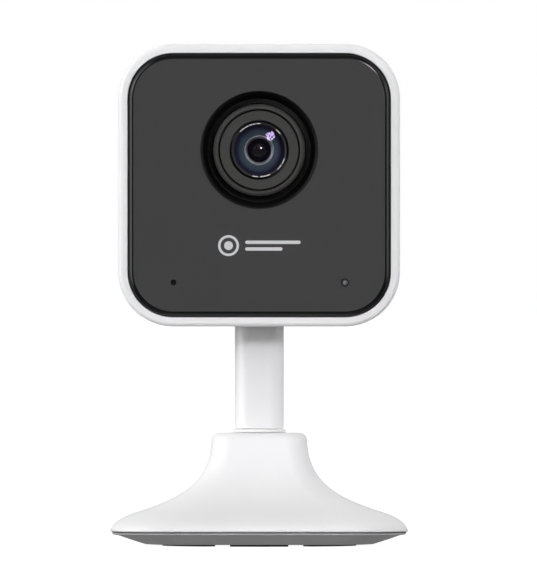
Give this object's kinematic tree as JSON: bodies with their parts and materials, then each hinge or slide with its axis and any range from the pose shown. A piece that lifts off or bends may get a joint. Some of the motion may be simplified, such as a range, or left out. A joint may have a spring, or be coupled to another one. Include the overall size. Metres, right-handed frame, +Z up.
{
  "type": "security camera",
  "caption": "Indoor Wi-Fi security camera: a rounded square head with a lens in a dark front panel tilts on a swivelling stem over a flared, weighted base.",
  "frame": {"origin": "on the surface the camera stands on, under the middle of the base, which is also the stem's swivel axis", "axes": "+Z up, the lens looks along -Y, +X is to the right of someone who faces the lens"},
  "size_m": [0.064, 0.064, 0.1081],
  "materials": {
    "white_plastic": "satin moulded white",
    "grey_plastic": "fine matt grey",
    "charcoal_panel": "smooth dark grey with a glossy black rounded edge",
    "black_plastic": "matt black",
    "barrel_black": "satin dark grey",
    "lens_glass": "coated glass, dark blue",
    "rubber": "dark rubber",
    "steel": "plain steel",
    "magnet_nickel": "nickel plating",
    "aluminium": "plain aluminium",
    "copper_winding": "enamelled copper",
    "circuit_board": "green solder mask",
    "chip_black": "moulded epoxy",
    "clear_plastic": "clear moulding",
    "filter_glass": "tinted filter glass",
    "cable_jacket": "smooth dark jacket"
  },
  "bodies": {
    "base": {"base_shell": "white_plastic", "base_pan": "grey_plastic", "base_magnet": "magnet_nickel", "ballast_plate": "steel", "base_screw_1": "steel", "base_screw_2": "steel", "base_screw_3": "steel", "base_screw_4": "steel", "foot_pad_front": "rubber", "foot_pad_right": "rubber", "foot_pad_back": "rubber", "foot_pad_left": "rubber"},
    "stem": {"stem": "white_plastic", "swivel_washer": "white_plastic", "swivel_spring": "steel", "swivel_retainer": "steel", "swivel_screw": "steel", "friction_washer_left": "steel", "friction_washer_right": "steel"},
    "head": {"antenna": "copper_winding", "antenna_cable": "cable_jacket", "card_socket": "steel", "front_board": "circuit_board", "front_lens": "lens_glass", "front_panel": "charcoal_panel", "head_screw_1": "steel", "head_screw_2": "steel", "head_screw_3": "steel", "head_screw_4": "steel", "heat_spreader": "aluminium", "hinge_nut": "steel", "hinge_screw": "steel", "image_sensor": "chip_black", "inner_frame": "black_plastic", "ir_cut_coil": "copper_winding", "ir_led_left": "clear_plastic", "ir_led_right": "clear_plastic", "lens_barrel": "barrel_black", "lens_bezel": "barrel_black", "lens_holder": "black_plastic", "lens_retaining_ring": "barrel_black", "lens_shroud": "black_plastic", "main_board": "circuit_board", "microphone": "steel", "microphone_boot": "rubber", "rear_housing": "white_plastic", "rear_lens": "lens_glass", "reset_switch": "black_plastic", "soc_chip": "chip_black", "speaker": "black_plastic", "speaker_gasket": "rubber", "speaker_grille": "white_plastic", "status_led": "clear_plastic", "status_light_pipe": "clear_plastic", "usb_socket": "steel", "wifi_module": "steel"},
    "reset_button": {"reset_button": "grey_plastic"},
    "ir_rotor": {"ir_cut_rotor": "magnet_nickel"},
    "ir_shuttle": {"ir_cut_shuttle": "black_plastic", "ir_filter_glass": "filter_glass"}
  },
  "joints": [
    {"name": "base_swivel", "type": "hinge", "parent": "base", "child": "stem", "pos_m": [0, 0, 0.02475], "axis": [0, 0, 1], "continuous": true},
    {"name": "head_tilt", "type": "hinge", "parent": "stem", "child": "head", "pos_m": [0, 0, 0.0522], "axis": [-1, 0, 0], "range_deg": [-20, 90]},
    {"name": "reset_press", "type": "slide", "parent": "head", "child": "reset_button", "axis": [-1, 0, 0], "range_m": [0, 0.0005], "stiffness_N_per_m": 600},
    {"name": "ir_rotor_turn", "type": "hinge", "parent": "head", "child": "ir_rotor", "pos_m": [0.0003, 0, 0.0948], "axis": [0, 1, 0], "range_deg": [0, 54.8]},
    {"name": "ir_shuttle_slide", "type": "slide", "parent": "head", "child": "ir_shuttle", "axis": [-1, 0, 0], "range_m": [0, 0.0046]}
  ],
  "couplings": [
    {"joint": "ir_rotor_turn", "follows": "ir_shuttle_slide", "rad_per_m": 207.8}
  ]
}
